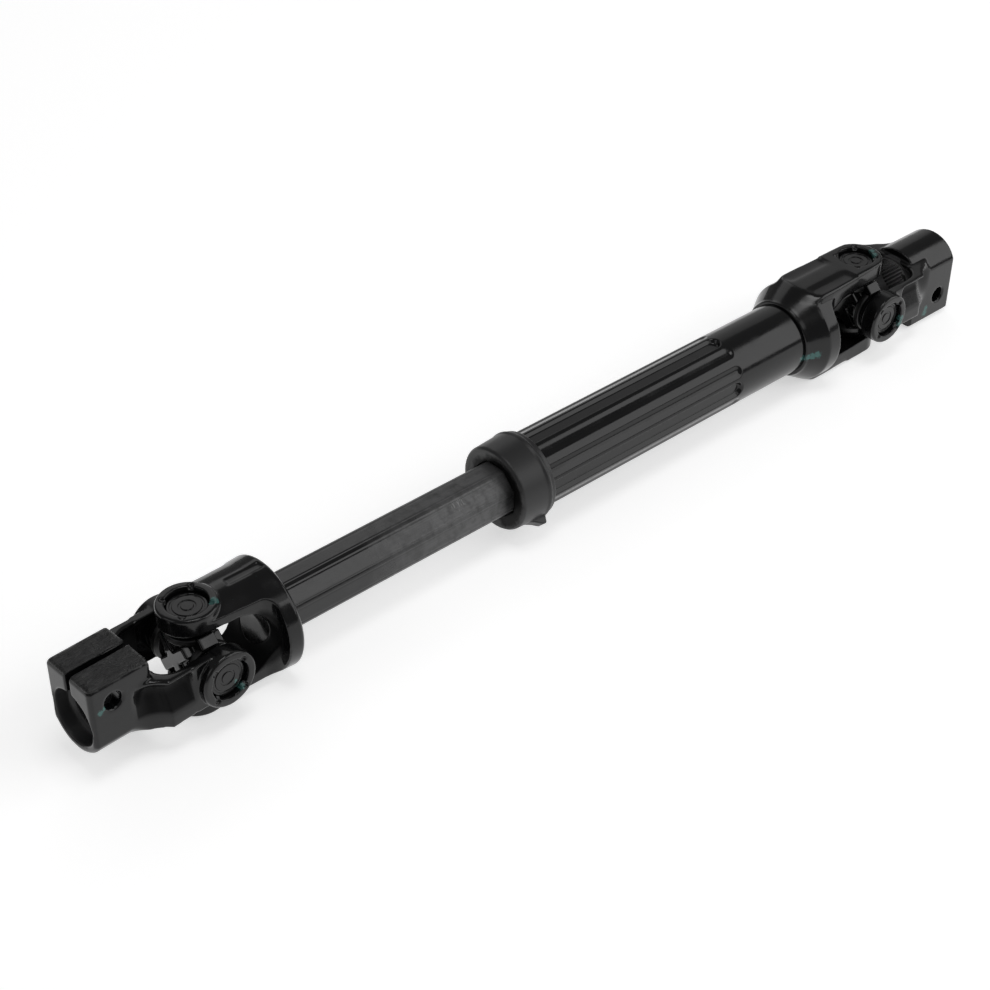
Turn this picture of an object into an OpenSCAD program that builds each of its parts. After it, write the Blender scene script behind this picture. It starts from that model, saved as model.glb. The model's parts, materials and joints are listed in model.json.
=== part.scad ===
// Steering intermediate shaft: a universal joint at each end of a telescoping shaft.
// X runs along the shaft from the front joint to the rear one, Z is up, and the shaft
// lies on the lower ears of its two forks. Millimetres.

/* [Layout] */
// Distance between the two joint centres at the drawn slip
joint_span = 359; // [340:1:380]
// How far the slip shaft can close up from the drawn position
slip_in = 34; // [10:1:34]
// How far the slip shaft can pull out from the drawn position
slip_out = 45; // [20:1:60]
// Room left past the inner shaft when it is fully closed up
room_in = 2.4; // [1:0.2:5]
// Room left between the slide sleeve and the tube's mouth when it is fully pulled out
room_out = 7; // [2:0.5:10]

/* [Joint ears] */
// From a joint centre to the flat outer face of each ear
ear_face = 22.5; // [21.5:0.5:25]
// Thickness of an ear
ear_thick = 7.5; // [6.5:0.5:8.5]
// Diameter of the round boss on an ear
boss_d = 22.8; // [21:0.2:24]
// Chamfer round the rim of a boss
boss_edge = 0.7; // [0.3:0.1:1.2]

/* [Bearing cups] */
// Outer diameter of a bearing cup and of its bore in the ear
cup_d = 16; // [15:0.5:17]
// Length of a cup
cup_len = 9.7; // [9:0.1:11]
// How deep a cup sits below the outer face of its ear
cup_recess = 2; // [1.2:0.1:2.5]
// Side wall of a cup
cup_wall = 1; // [0.8:0.1:1.3]
// Thickness of the closed end of a cup
cup_end = 1.3; // [1:0.1:1.6]
// Diameter of a needle roller
needle_d = 1.96; // [1.6:0.02:2.2]
// Length of a needle roller
needle_len = 6.8; // [5:0.1:7]
// Running clearance on each side of a needle roller
needle_gap = 0.02; // [0.01:0.01:0.05]
// Gap between the end of a trunnion and the floor of its cup
thrust_gap = 0.2; // [0.05:0.05:0.4]

/* [Cross] */
// Half thickness of the forged centre of a cross, along the shaft
cross_half = 6.2; // [5:0.1:7]
// Radius of the round shoulder at the root of a trunnion
shoulder_r = 7.2; // [6.6:0.1:7.6]
// From the joint centre to the seat of a trunnion seal
seal_seat = 8.4; // [8:0.1:9]
// Outer radius of a trunnion seal
seal_r = 9.5; // [9.2:0.1:10]
// Thickness of the floor of a trunnion seal
seal_floor = 2.1; // [1.5:0.1:2.3]
// Gap between a seal and the cup that turns in it
seal_gap = 0.3; // [0.1:0.05:0.35]
// Gap between neighbouring seals, and between the cross's gussets and a seal
seal_clear = 0.2; // [0.1:0.05:0.5]
// How far a seal laps over the mouth of its cup
seal_lap = 1.2; // [0.6:0.1:2]

/* [Clamp yokes] */
// From the front joint centre to the front yoke's open face
front_reach = 51; // [48:0.5:58]
// Length of the front clamp hub
front_hub_len = 25; // [23:0.5:27]
// Width across the flat sides of the front hub
front_hub_w = 25.6; // [24.4:0.2:27]
// Diameter of the front hub's round side
front_hub_d = 28.6; // [27.4:0.2:30]
// From the shaft axis to the flat end of the front clamp lugs
front_lug = 19.5; // [18:0.5:22]
// How far the front yoke is swung about its joint as drawn, in degrees
rest_swing = 2.5; // [0:0.5:8]
// From the rear joint centre to the rear yoke's open face
rear_reach = 57; // [54:0.5:62]
// Length of the rear clamp hub
rear_hub_len = 27.5; // [25.5:0.5:29.5]
// Width across the flat sides of the rear hub
rear_hub_w = 26.6; // [25:0.2:28]
// Diameter of the rear hub's round side
rear_hub_d = 28.8; // [28:0.2:31]
// From the shaft axis to the flat end of the rear clamp lugs
rear_lug = 21.5; // [19:0.5:22]
// Diameter of the clamp bore
clamp_bore_d = 19; // [17:0.5:20]
// Diameter of the counterbore at the open face
counterbore_d = 22.2; // [21:0.2:23]
// Depth of the counterbore
counterbore_depth = 6; // [3:0.5:7]
// Width of the slit between the clamp lugs
slit_w = 2.6; // [1.5:0.1:4]
// From the shaft axis to the axis of the pinch bolt
pinch_height = 10.4; // [10:0.1:12]
// From the open face to the axis of the pinch bolt
pinch_inset = 9.5; // [8:0.5:13]
// Tapping diameter of the pinch bolt hole
tap_d = 6.8; // [5:0.1:7]
// Clearance diameter of the pinch bolt hole
clear_d = 8.4; // [7.2:0.1:9]
// Thickness of a clamp yoke's arm
arm_thick = 3.8; // [3:0.1:5]
// Half height of a clamp yoke's arm
arm_half = 10.8; // [9.5:0.1:11]
// Radius of the sweep from the hub's side into an arm
sweep_r = 14; // [11:0.5:16]
// How far the sweep starts before the hub's rear edge
sweep_lead = 8.5; // [7:0.5:10]

/* [Forks] */
// Half width of a fork's arm beside its window
fork_half = 12.5; // [12:0.1:13.5]
// From the front joint centre to the end of the window
front_window = 27.2; // [26.5:0.1:32]
// Thickness of the front fork's closed end
front_web = 6.8; // [5:0.1:12]
// Radius of the front fork's round body, just inside the faces of its ears
front_round = 22; // [21.5:0.1:22.4]
// From the rear joint centre to the end of the window
rear_window = 33; // [30:0.5:38]
// Length of the rear fork's closed end, from window to tube
rear_web = 16.6; // [12:0.2:22]
// Radius in the corner of a window
window_r = 5; // [2:0.5:6]
// Depth of the panels beside the rear fork's raised spine
panel_depth = 0.8; // [0.3:0.1:1.2]
// Half width of the rear fork's raised spine
spine_half = 4.5; // [3:0.5:6]
// Radius at the corners of the rear fork's flat-topped arms
rear_round = 24.8; // [23:0.1:25.5]
// Length of the cone that ends the rear fork at the tube
rear_cone = 9.5; // [5:0.5:11]
// Width of the trimmed parting flat along the front fork
parting_w = 3.6; // [2:0.2:5]

/* [Slip shaft] */
// Radius of the groove along four of the inner shaft's edges
edge_groove_r = 0.8; // [0.4:0.1:1.2]
// Diameter of the inner shaft's spigot in the front fork
spigot_d = 19; // [16:0.5:20]
// Wall of the slide sleeve on the inner shaft
sleeve_wall = 0.9; // [0.5:0.1:1]
// Sliding gap between the sleeve and the tube's ribs
slide_gap = 0.12; // [0.05:0.01:0.3]

/* [Tube] */
// Outer diameter of the tube
tube_d = 32; // [31:0.5:34]
// Wall of the tube
tube_wall = 2; // [1.8:0.1:2.4]
// Length of the tube
tube_len = 159.4; // [140:0.2:170]
// Length of plain round tube between the flutes and the rear fork
plain_len = 39.4; // [20:0.2:60]
// Depth of a main flute
flute_depth = 1.98; // [1.6:0.02:2.4]
// Half width of a main flute
flute_half = 3.1; // [2:0.1:3.6]
// How much wider on each side the rib under a main flute is
rib_side = 1.2; // [0.8:0.1:1.4]
// Half width of a minor flute
minor_half = 2; // [1:0.1:2.2]
// Depth of a minor flute
minor_depth = 0.9; // [0.4:0.1:1.4]
// Angle between a minor flute and the nearest main flute
minor_angle = 29; // [27:0.5:32]
// Length of the fork's spigot inside the tube
tube_spigot = 11; // [6:0.5:12]

/* [Seal collar] */
// How far the collar stands out past the open end of the tube
collar_nose = 6.5; // [3:0.5:8]
// Length of the collar's body
collar_len = 13.1; // [11:0.1:15]
// Wall of the collar round the tube
collar_wall = 1.9; // [1:0.1:2.5]
// Height of the collar's raised lip
collar_lip = 1; // [0.8:0.1:2]
// Thickness of the wiper that closes on the shaft
wiper_thick = 1.2; // [0.8:0.1:2]
// Gap between the wiper and the shaft
wiper_gap = 0.2; // [0.1:0.05:0.4]
// How far the collar's pull tab stands out past the lip
tab_out = 2.6; // [1:0.1:4]

/* [Hidden] */
$fn = 64;

eps = 0.01;
far = 100;
black = [0.05, 0.05, 0.055];
bare_steel = [0.2, 0.2, 0.21];
bright_steel = [0.55, 0.55, 0.57];
rubber = [0.08, 0.08, 0.08];
polymer = [0.75, 0.72, 0.62];

boss_r = boss_d / 2;
cup_r = cup_d / 2;
ear_inner = ear_face - ear_thick;
cup_face = ear_face - cup_recess;
cup_mouth = cup_face - cup_len;
trunnion_end = cup_face - cup_end - thrust_gap;
needle_ring_r = cup_r - cup_wall - needle_gap - needle_d / 2;
trunnion_r = needle_ring_r - needle_d / 2 - needle_gap;
needle_count = floor(180 / asin(needle_d / 2 / needle_ring_r));
needle_z = cup_face - cup_end - thrust_gap - needle_len;
hub_edge = 1.2;
root_lap = 4;
bore_r = clamp_bore_d / 2;
tube_r = tube_d / 2;
tube_bore_r = tube_r - tube_wall;
flute_floor = tube_r - flute_depth;
rib_flat = flute_floor - tube_wall;
sleeve_flat = rib_flat - slide_gap;
shaft_flat = sleeve_flat - sleeve_wall;
collar_r = tube_r + collar_wall;
collar_lip_r = collar_r + collar_lip;
front_back = front_window + front_web;
rear_back = rear_window + rear_web;
tube_end = joint_span - rear_back;
tube_start = tube_end - tube_len;
flute_end = tube_end - plain_len;
shaft_end = tube_end - tube_spigot - slip_in - room_in;
sleeve_start = tube_start + slip_out + room_out;

// Places of the joints: the part's origin is under its middle, on the surface it lies on
front_out = front_reach * cos(rest_swing) + (front_hub_w / 2 - hub_edge) * sin(rest_swing);
front_x = -(joint_span + rear_reach - front_out) / 2;
rear_x = front_x + joint_span;
axis_z = max(ear_face, rear_lug);

// 2D X becomes Y and 2D Y becomes Z, swept from x0 to x1
module along_x(x0, x1) {
    translate([x0, 0, 0]) rotate([90, 0, 90]) linear_extrude(x1 - x0) children();
}

// 2D X stays X and 2D Y becomes Z, swept right across the part
module across_y() {
    translate([0, far / 2, 0]) rotate([90, 0, 0]) linear_extrude(far) children();
}

// A profile of [radius, x] turned about the X axis
module turned(profile) {
    rotate([0, 90, 0]) rotate_extrude() polygon(profile);
}

// An octagon with flats facing along the axes
module octagon(flat) {
    rotate(22.5) circle(flat / cos(22.5), $fn = 8);
}

// Turn local +Z outwards along one arm of a cross
module to_left() { rotate([-90, 0, 0]) children(); }
module to_right() { rotate([90, 0, 0]) children(); }
module to_upper() { children(); }
module to_lower() { rotate([180, 0, 0]) children(); }

module at_front() { translate([front_x, 0, axis_z]) children(); }
module at_front_swung() { at_front() rotate([0, 0, rest_swing]) children(); }
module at_rear() { translate([rear_x, 0, axis_z]) children(); }

// The rear clamp yoke is the front one turned half round the hinge axis
module at_rear_turned() { at_rear() rotate([0, 180, 0]) children(); }

// Bearing parts, each drawn along local +Z from the joint centre

module cup() {
    ring_in = 2.3;
    ring_out = 5.4;
    ring_w = 0.9;
    ring_deep = 0.35;
    edge = 0.8;
    mouth_edge = 0.3;
    color(black) difference() {
        translate([0, 0, cup_mouth]) rotate_extrude() polygon([
            [0, 0], [cup_r - mouth_edge, 0], [cup_r, mouth_edge], [cup_r, cup_len - edge],
            [cup_r - edge, cup_len], [0, cup_len]]);
        translate([0, 0, cup_mouth - eps]) cylinder(r = cup_r - cup_wall, h = cup_len - cup_end + eps);
        translate([0, 0, cup_face - ring_deep]) difference() {
            cylinder(r = ring_out + ring_w, h = 1);
            translate([0, 0, -eps]) cylinder(r = ring_out, h = 2);
        }
        translate([0, 0, cup_face - ring_deep]) difference() {
            cylinder(r = ring_in + ring_w, h = 1);
            translate([0, 0, -eps]) cylinder(r = ring_in, h = 2);
        }
    }
}

module needles() {
    color(bright_steel) for (i = [0 : needle_count - 1])
        rotate(i * 360 / needle_count) translate([needle_ring_r, 0, needle_z])
            cylinder(d = needle_d, h = needle_len, $fn = 24);
}

module trunnion_seal() {
    seal_top = cup_mouth + seal_lap;
    foot_r = seal_seat - seal_clear;
    rim = 0.4;
    color(rubber) difference() {
        translate([0, 0, seal_seat]) rotate_extrude() polygon([
            [0, 0], [foot_r, 0], [seal_r, seal_r - foot_r],
            [seal_r, seal_top - seal_seat - rim], [seal_r - rim, seal_top - seal_seat],
            [0, seal_top - seal_seat]]);
        translate([0, 0, seal_seat - eps]) cylinder(r = trunnion_r, h = far);
        translate([0, 0, min(seal_seat + seal_floor, cup_mouth - seal_gap)])
            cylinder(r = cup_r + seal_gap, h = far);
    }
}

// The cross: four ground trunnions on a forged centre with flat gussets between them
module cross() {
    gusset = seal_seat - seal_clear;
    draft = 1.6;
    edge_half = 1.5;
    edge_out = 3;
    scallop_r = 5.2;
    scallop_at = 16;
    root = 1.2;
    tip = 0.5;
    color(black) union() {
        intersection() {
            along_x(-cross_half, cross_half) difference() {
                square(2 * gusset, center = true);
                for (a = [45 : 90 : 315]) rotate(a) translate([scallop_at, 0]) circle(scallop_r);
            }
            turned([[0, -cross_half], [gusset - draft, -cross_half], [gusset + edge_out, -edge_half],
                [gusset + edge_out, edge_half], [gusset - draft, cross_half], [0, cross_half]]);
        }
        for (a = [0 : 90 : 270]) rotate([a, 0, 0]) rotate_extrude() polygon([
            [0, 0], [shoulder_r, 0], [shoulder_r, seal_seat - root], [shoulder_r - root, seal_seat],
            [trunnion_r, seal_seat], [trunnion_r, trunnion_end - tip],
            [trunnion_r - tip, trunnion_end], [0, trunnion_end]]);
    }
}

// Ears, shared by all four yokes

module ear_boss() {
    rotate_extrude() polygon([[0, ear_inner], [boss_r - boss_edge, ear_inner],
        [boss_r, ear_inner + boss_edge], [boss_r, ear_face - boss_edge],
        [boss_r - boss_edge, ear_face], [0, ear_face]]);
}

stake_angles = [45, 135, 225, 315];
stake_w = 2;

module ear_cut() {
    notch_deep = 1.1;
    translate([0, 0, ear_inner - 2]) cylinder(d = cup_d, h = far);
    for (a = stake_angles) rotate(a) translate([cup_r + 0.7, 0, ear_face - notch_deep])
        cylinder(d = stake_w + 0.2, h = far, $fn = 24);
}

// Metal staked over the rim of a cup, which holds it in its ear
module ear_stakes() {
    stake_in = 0.8;
    for (a = stake_angles) rotate(a) translate([cup_r - stake_in, -stake_w / 2, cup_face])
        cube([stake_in + 0.5, stake_w, min(0.7, cup_recess - 0.4)]);
}

// Clamp yoke, drawn about its joint centre with the hub towards -X and the lugs up

// The hub's round side below the axis and its two lugs above it, chamfered at the open face
module hub(reach, hub_back, half, round_r, top) {
    lug_corner = 1.5;
    intersection() {
        along_x(-reach, -hub_back) union() {
            polygon([[-half, 0], [-half, top - lug_corner], [-half + lug_corner, top],
                [half - lug_corner, top], [half, top - lug_corner], [half, 0]]);
            intersection() {
                circle(round_r);
                translate([-half, -round_r - 1]) square([2 * half, round_r + 1.5]);
            }
        }
        linear_extrude(far, center = true) polygon([[-reach - 1, -half + hub_edge + 1],
            [-reach + hub_edge + 1, -half - 1], [0, -half - 1], [0, half + 1],
            [-reach + hub_edge + 1, half + 1], [-reach - 1, half - hub_edge - 1]]);
        across_y() polygon([[-reach - 1, -round_r - 1], [-reach - 1, top - hub_edge - 1],
            [-reach + hub_edge + 1, top + 1], [0, top + 1], [0, -round_r - 1]]);
        union() {
            turned([[0, -reach - 1], [round_r - hub_edge - 1, -reach - 1],
                [round_r + 1, -reach + hub_edge + 1], [round_r + 1, 0], [0, 0]]);
            translate([-far, -far / 2, 0]) cube([far, far, far]);
        }
    }
}

// Seen from above: hub sides sweeping out into the two arms
module arms_plan(hub_back, half) {
    crotch = hub_back - 2.5;
    crotch_r = 7;
    sweep_x = -(hub_back + sweep_lead);
    arm_out = ear_inner + arm_thick;
    difference() {
        union() {
            translate([sweep_x - root_lap, -half]) square([-sweep_x + root_lap, 2 * half]);
            for (s = [-1, 1]) mirror([0, s > 0 ? 0 : 1]) difference() {
                translate([sweep_x, 0]) square([-sweep_x, arm_out]);
                translate([sweep_x, half + sweep_r]) circle(sweep_r);
            }
        }
        translate([-crotch + crotch_r, -ear_inner]) square([far, 2 * ear_inner]);
        translate([-crotch, -(ear_inner - crotch_r)]) square([far, 2 * (ear_inner - crotch_r)]);
        for (s = [-1, 1]) translate([-crotch + crotch_r, s * (ear_inner - crotch_r)]) circle(crotch_r);
    }
}

// Seen from the side: the arms run level and then taper to the round of the ears
module arms_side(hub_back) {
    root_x = -hub_back - sweep_lead - root_lap - 1;
    neck = arm_half - 1;
    circle(boss_r);
    polygon([[0, arm_half], [root_x, arm_half], [root_x, -arm_half], [-hub_back, -arm_half],
        [-boss_r, -neck], [0, -neck]]);
}

// Round all about the axis: the arms' corners flare out of the hub like a trumpet
module arms_flare(hub_back, round_r) {
    start = -(hub_back + sweep_lead + root_lap);
    start_r = round_r - 0.3;
    rotate([0, 90, 0]) rotate_extrude() difference() {
        translate([0, start - 2]) square([start_r + sweep_r, far]);
        translate([start_r + sweep_r, start]) circle(sweep_r);
        translate([start_r, start - 3]) square([far, 3]);
    }
}

module clamp_yoke(reach, hub_len, hub_w, hub_d, top) {
    hub_back = reach - hub_len;
    half = hub_w / 2;
    round_r = hub_d / 2;
    pinch_x = -(reach - pinch_inset);
    color(black) union() {
        difference() {
            union() {
                hub(reach, hub_back, half, round_r, top);
                intersection() {
                    linear_extrude(far, center = true) arms_plan(hub_back, half);
                    across_y() arms_side(hub_back);
                    arms_flare(hub_back, round_r);
                }
                to_left() ear_boss();
                to_right() ear_boss();
            }
            rotate([0, -90, 0]) cylinder(r = bore_r, h = far);
            turned([[0, -reach - eps], [counterbore_d / 2 + 0.6, -reach - eps],
                [counterbore_d / 2, -reach + 0.6], [counterbore_d / 2, -reach + counterbore_depth],
                [bore_r, -reach + counterbore_depth + 1], [0, -reach + counterbore_depth + 1]]);
            translate([-far, -slit_w / 2, 0]) cube([far, slit_w, far]);
            translate([pinch_x, 0, pinch_height]) {
                to_left() cylinder(d = clear_d, h = far);
                to_right() cylinder(d = tap_d, h = far);
                to_right() translate([0, 0, half - 0.7])
                    cylinder(d1 = tap_d, d2 = tap_d + 2.8, h = 1.4);
            }
            to_left() ear_cut();
            to_right() ear_cut();
        }
        to_left() ear_stakes();
        to_right() ear_stakes();
    }
}

// Fork, drawn about its joint centre with the shaft towards +X and its ears up and down

module fork_plan(window, back) {
    circle(boss_r);
    polygon([[0, -boss_r], [window - window_r, -fork_half], [window - window_r, fork_half], [0, boss_r]]);
    translate([window, -far / 2]) square([back - window + 1, far]);
    difference() {
        translate([window - window_r, -fork_half - window_r])
            square([window_r + eps, 2 * (fork_half + window_r)]);
        for (s = [-1, 1]) translate([window - window_r, s * (fork_half + window_r)]) circle(window_r);
    }
}

// The opening between the ears, closed by a full round
module fork_slot(window) {
    across_y() {
        translate([-far, -ear_inner]) square([far + window - ear_inner, 2 * ear_inner]);
        translate([window - ear_inner, 0]) circle(ear_inner);
    }
}

module fork(window, back) {
    difference() {
        union() {
            intersection() {
                children();
                linear_extrude(far, center = true) fork_plan(window, back);
            }
            to_upper() ear_boss();
            to_lower() ear_boss();
        }
        fork_slot(window);
        to_upper() ear_cut();
        to_lower() ear_cut();
    }
    to_upper() ear_stakes();
    to_lower() ear_stakes();
}

module front_fork_local() {
    rim = 1.2;
    parting_deep = 0.35;
    color(black) difference() {
        fork(front_window, front_back) turned([[0, -boss_r], [front_round, -boss_r],
            [front_round, front_back - 8], [ear_face - 0.1, front_back - rim],
            [ear_face - rim, front_back], [0, front_back]]);
        translate([front_window - 6, 0, 0]) rotate([0, 90, 0]) cylinder(d = spigot_d, h = far);
        for (s = [0, 1]) mirror([0, 0, s])
            translate([boss_r + 5, -parting_w / 2, front_round - parting_deep])
                cube([front_back - boss_r - 7, parting_w, far]);
    }
}

module rear_fork_local() {
    flange = 1.2;
    slope = (ear_face - tube_r - 1.5) / (rear_cone - flange);
    flange_r = tube_r + 1.5;
    panel_w = fork_half - spine_half - 1.3;
    color(black) difference() {
        union() {
            fork(rear_window, rear_back) intersection() {
                turned([[0, -boss_r], [rear_round, -boss_r],
                    [rear_round, rear_back - rear_cone - (rear_round - ear_face) / slope],
                    [flange_r, rear_back - flange], [flange_r, rear_back - 0.4],
                    [flange_r - 0.4, rear_back], [0, rear_back]]);
                along_x(-boss_r - 1, rear_back + 1) {
                    circle(ear_face);
                    square([2 * fork_half, 2 * ear_face], center = true);
                }
            }
            translate([rear_back - eps, 0, 0]) rotate([0, 90, 0])
                cylinder(r = tube_bore_r, h = tube_spigot + eps);
        }
        for (s = [0, 1]) mirror([0, 0, s]) for (t = [-1, 1])
            intersection() {
                translate([boss_r + 2, t > 0 ? spine_half : -spine_half - panel_w, ear_inner + 1])
                    cube([rear_back - rear_cone - boss_r - 4, panel_w, far]);
                translate([0, -far / 2, ear_face - panel_depth]) cube(far);
            }
    }
}

// Slip shaft and tube, drawn from the front joint centre along +X

module inner_shaft_local() {
    color(bare_steel) union() {
        translate([front_window, 0, 0]) rotate([0, 90, 0]) cylinder(d = spigot_d, h = front_web);
        difference() {
            along_x(front_back, shaft_end) octagon(shaft_flat);
            for (a = [67.5 : 90 : 337.5]) rotate([a, 0, 0])
                translate([front_back - 1, shaft_flat / cos(22.5), 0]) rotate([0, 90, 0])
                    cylinder(r = edge_groove_r, h = far * 3, $fn = 24);
        }
    }
}

module slide_sleeve_local() {
    color(polymer) along_x(sleeve_start, shaft_end) difference() {
        octagon(sleeve_flat);
        octagon(shaft_flat);
    }
}

// A groove or rib with one round end, on a tube face at distance r0 to r1 from the axis
module flute(half, r0, r1) {
    translate([0, 0, r0]) linear_extrude(r1 - r0) {
        translate([tube_start - 1, -half]) square([flute_end - half - tube_start + 1, 2 * half]);
        translate([flute_end - half, 0]) circle(half);
    }
}

module flutes(outside) {
    minor_floor = tube_r - minor_depth;
    for (a = [0 : 90 : 270]) {
        rotate([a, 0, 0]) {
            if (outside) flute(flute_half, flute_floor, far);
            else flute(flute_half + rib_side, rib_flat, tube_bore_r + 0.8);
        }
        for (s = [-1, 1]) rotate([a + s * minor_angle, 0, 0]) {
            if (outside) flute(minor_half, minor_floor, far);
            else flute(minor_half, minor_floor - tube_wall, tube_bore_r + 0.4);
        }
    }
}

module outer_tube_local() {
    color(black) difference() {
        union() {
            difference() {
                translate([tube_start, 0, 0]) rotate([0, 90, 0]) cylinder(r = tube_r, h = tube_len);
                translate([tube_start - 1, 0, 0]) rotate([0, 90, 0])
                    cylinder(r = tube_bore_r, h = tube_len + 2);
            }
            intersection() {
                flutes(false);
                translate([tube_start, 0, 0]) rotate([0, 90, 0]) cylinder(r = tube_r - 1, h = tube_len);
            }
        }
        flutes(true);
    }
}

// Seal collar pushed over the tube's end, with a wiper round the shaft and a pull tab
module seal_collar_local() {
    nose = tube_start - collar_nose;
    lip = nose + collar_len;
    lip_w = 1.4;
    tail = 2.6;
    tab_w = 5;
    tab_angle = 135;
    color(rubber) difference() {
        union() {
            turned([[0, nose], [collar_r - 1, nose], [collar_r, nose + 1], [collar_r + 0.6, lip],
                [collar_lip_r, lip + 0.3], [collar_lip_r, lip + lip_w],
                [collar_r + 0.3, lip + lip_w + 0.3], [collar_r + 0.1, lip + lip_w + tail],
                [0, lip + lip_w + tail]]);
            rotate([tab_angle, 0, 0]) rotate([90, 0, 0]) linear_extrude(tab_w, center = true) polygon([
                [lip - 9, collar_r - 1], [lip - 6.5, collar_r + 0.4], [lip - 4, collar_r + 1.6],
                [lip - 2, collar_lip_r + tab_out - 0.6], [lip - 1, collar_lip_r + tab_out],
                [lip + 0.4, collar_lip_r + tab_out], [lip + lip_w, collar_lip_r], [lip + lip_w, tube_r]]);
        }
        along_x(nose - 1, far * 3) octagon(shaft_flat + wiper_gap);
        translate([tube_start, 0, 0]) rotate([0, 90, 0]) cylinder(r = tube_r, h = far);
        turned([[0, nose - eps], [collar_r - 2.4, nose - eps],
            [shaft_flat + 2, tube_start - wiper_thick], [0, tube_start - wiper_thick]]);
    }
}

// Nodes

module front_clamp_yoke() { at_front_swung() clamp_yoke(front_reach, front_hub_len, front_hub_w, front_hub_d, front_lug); }
module front_cross() { at_front_swung() cross(); }
module front_cup_left() { at_front_swung() to_left() cup(); }
module front_cup_right() { at_front_swung() to_right() cup(); }
module front_cup_upper() { at_front() to_upper() cup(); }
module front_cup_lower() { at_front() to_lower() cup(); }
module front_needles_left() { at_front_swung() to_left() needles(); }
module front_needles_right() { at_front_swung() to_right() needles(); }
module front_needles_upper() { at_front() to_upper() needles(); }
module front_needles_lower() { at_front() to_lower() needles(); }
module front_seal_left() { at_front_swung() to_left() trunnion_seal(); }
module front_seal_right() { at_front_swung() to_right() trunnion_seal(); }
module front_seal_upper() { at_front_swung() to_upper() trunnion_seal(); }
module front_seal_lower() { at_front_swung() to_lower() trunnion_seal(); }
module front_fork() { at_front() front_fork_local(); }
module inner_shaft() { at_front() inner_shaft_local(); }
module slide_sleeve() { at_front() slide_sleeve_local(); }
module seal_collar() { at_front() seal_collar_local(); }
module outer_tube() { at_front() outer_tube_local(); }
module rear_fork() { at_rear() mirror([1, 0, 0]) rear_fork_local(); }
module rear_cross() { at_rear() cross(); }
module rear_cup_left() { at_rear() to_left() cup(); }
module rear_cup_right() { at_rear() to_right() cup(); }
module rear_cup_upper() { at_rear() to_upper() cup(); }
module rear_cup_lower() { at_rear() to_lower() cup(); }
module rear_needles_left() { at_rear() to_left() needles(); }
module rear_needles_right() { at_rear() to_right() needles(); }
module rear_needles_upper() { at_rear() to_upper() needles(); }
module rear_needles_lower() { at_rear() to_lower() needles(); }
module rear_seal_left() { at_rear() to_left() trunnion_seal(); }
module rear_seal_right() { at_rear() to_right() trunnion_seal(); }
module rear_seal_upper() { at_rear() to_upper() trunnion_seal(); }
module rear_seal_lower() { at_rear() to_lower() trunnion_seal(); }
module rear_clamp_yoke() { at_rear_turned() clamp_yoke(rear_reach, rear_hub_len, rear_hub_w, rear_hub_d, rear_lug); }

front_clamp_yoke();
front_cross();
front_cup_left();
front_cup_right();
front_cup_upper();
front_cup_lower();
front_needles_left();
front_needles_right();
front_needles_upper();
front_needles_lower();
front_seal_left();
front_seal_right();
front_seal_upper();
front_seal_lower();
front_fork();
inner_shaft();
slide_sleeve();
seal_collar();
outer_tube();
rear_fork();
rear_cross();
rear_cup_left();
rear_cup_right();
rear_cup_upper();
rear_cup_lower();
rear_needles_left();
rear_needles_right();
rear_needles_upper();
rear_needles_lower();
rear_seal_left();
rear_seal_right();
rear_seal_upper();
rear_seal_lower();
rear_clamp_yoke();
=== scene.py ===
# %% [markdown]
# # A steering shaft with two universal joints
#
# The object is a telescoping steering shaft. A forged universal joint sits at each end, a thin octagonal
# shaft slides in a fluted tube between them, and nearly all of it is painted black. A black object on a pale
# floor is a lesson in edges: what the eye reads is the line of light along each rounded edge. So most of the
# work here is to round the edges well, to give each black its own gloss, and to place the lights.
#
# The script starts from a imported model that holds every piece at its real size. It is in metres, with X
# along the shaft and Z up, and no piece is moved or resized here.

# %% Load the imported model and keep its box
import json
import math

import bmesh
import bpy
from mathutils import Euler, Matrix, Vector


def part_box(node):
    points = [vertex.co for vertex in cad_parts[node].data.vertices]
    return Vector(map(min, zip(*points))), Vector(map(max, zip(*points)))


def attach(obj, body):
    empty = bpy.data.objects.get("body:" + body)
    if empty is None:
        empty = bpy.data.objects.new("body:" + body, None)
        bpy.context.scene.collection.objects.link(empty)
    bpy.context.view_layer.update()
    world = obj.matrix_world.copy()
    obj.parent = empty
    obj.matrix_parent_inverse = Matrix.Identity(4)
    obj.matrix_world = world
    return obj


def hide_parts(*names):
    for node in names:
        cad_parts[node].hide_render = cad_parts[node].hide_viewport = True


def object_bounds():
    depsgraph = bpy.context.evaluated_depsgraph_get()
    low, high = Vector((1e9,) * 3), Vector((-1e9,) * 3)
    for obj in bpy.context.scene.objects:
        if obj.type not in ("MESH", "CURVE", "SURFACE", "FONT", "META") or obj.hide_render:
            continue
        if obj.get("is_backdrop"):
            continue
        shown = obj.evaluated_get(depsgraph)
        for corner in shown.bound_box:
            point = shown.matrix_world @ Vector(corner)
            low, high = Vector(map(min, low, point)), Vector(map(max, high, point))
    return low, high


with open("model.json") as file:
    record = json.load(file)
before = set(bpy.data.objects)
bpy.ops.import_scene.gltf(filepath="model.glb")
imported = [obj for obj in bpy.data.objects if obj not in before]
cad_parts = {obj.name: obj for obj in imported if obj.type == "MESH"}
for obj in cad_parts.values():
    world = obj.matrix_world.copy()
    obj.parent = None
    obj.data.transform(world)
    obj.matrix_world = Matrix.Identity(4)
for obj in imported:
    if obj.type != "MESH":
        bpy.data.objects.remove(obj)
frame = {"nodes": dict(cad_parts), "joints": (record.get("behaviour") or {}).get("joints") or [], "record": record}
cad_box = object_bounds()
MM = 0.001
print("box of the packed model, mm", [[round(v / MM, 1) for v in corner] for corner in cad_box])

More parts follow.
